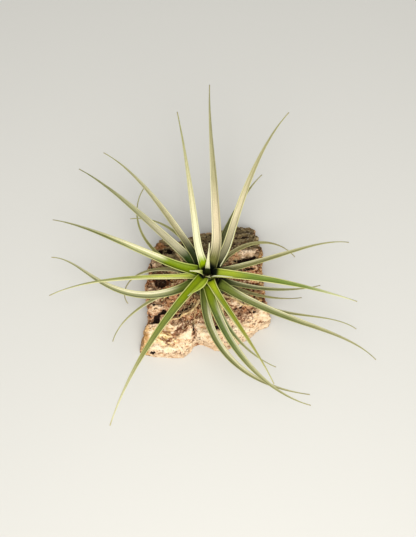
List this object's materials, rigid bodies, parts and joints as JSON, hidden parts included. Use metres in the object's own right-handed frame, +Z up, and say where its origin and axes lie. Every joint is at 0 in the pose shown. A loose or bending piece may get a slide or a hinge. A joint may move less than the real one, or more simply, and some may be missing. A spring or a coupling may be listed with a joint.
{
  "type": "air plant on cork bark",
  "caption": "Rosette of long narrow arching leaves held by its roots on a rough slab of cork bark with a flat underside to stand on.",
  "frame": {"origin": "middle of the cork bark's flat underside, below the plant's stem", "axes": "+Z up, +Y towards the back of the slab, +X towards the right as seen from its front"},
  "size_m": [0.2272, 0.226, 0.1128],
  "materials": {
    "cork": "rough cork bark, grey-brown outside with pink-tan and cream worn plates and dark fissures",
    "root": "dry tan fibre",
    "leaf_pale": "cream and khaki scurf over green, lime at the base",
    "leaf_green": "matt green with pale margins, lime at the base",
    "leaf_dry": "grey-green withered leaf with a tan tip"
  },
  "bodies": {
    "root": {"cork_bark": "cork", "stem_and_roots": "root", "leaf_01": "leaf_pale", "leaf_02": "leaf_pale", "leaf_03": "leaf_pale", "leaf_04": "leaf_pale", "leaf_05": "leaf_green", "leaf_06": "leaf_green", "leaf_07": "leaf_pale", "leaf_08": "leaf_pale", "leaf_09": "leaf_green", "leaf_10": "leaf_pale", "leaf_11": "leaf_green", "leaf_12": "leaf_green", "leaf_13": "leaf_green", "leaf_14": "leaf_pale", "leaf_15": "leaf_green", "leaf_16": "leaf_green", "leaf_17": "leaf_pale", "leaf_18": "leaf_green", "leaf_19": "leaf_green", "leaf_20": "leaf_green", "leaf_21": "leaf_green", "leaf_22": "leaf_green", "leaf_23": "leaf_green", "leaf_24": "leaf_green", "leaf_25": "leaf_dry", "leaf_26": "leaf_green", "leaf_27": "leaf_green", "leaf_28": "leaf_dry"}
  },
  "joints": []
}
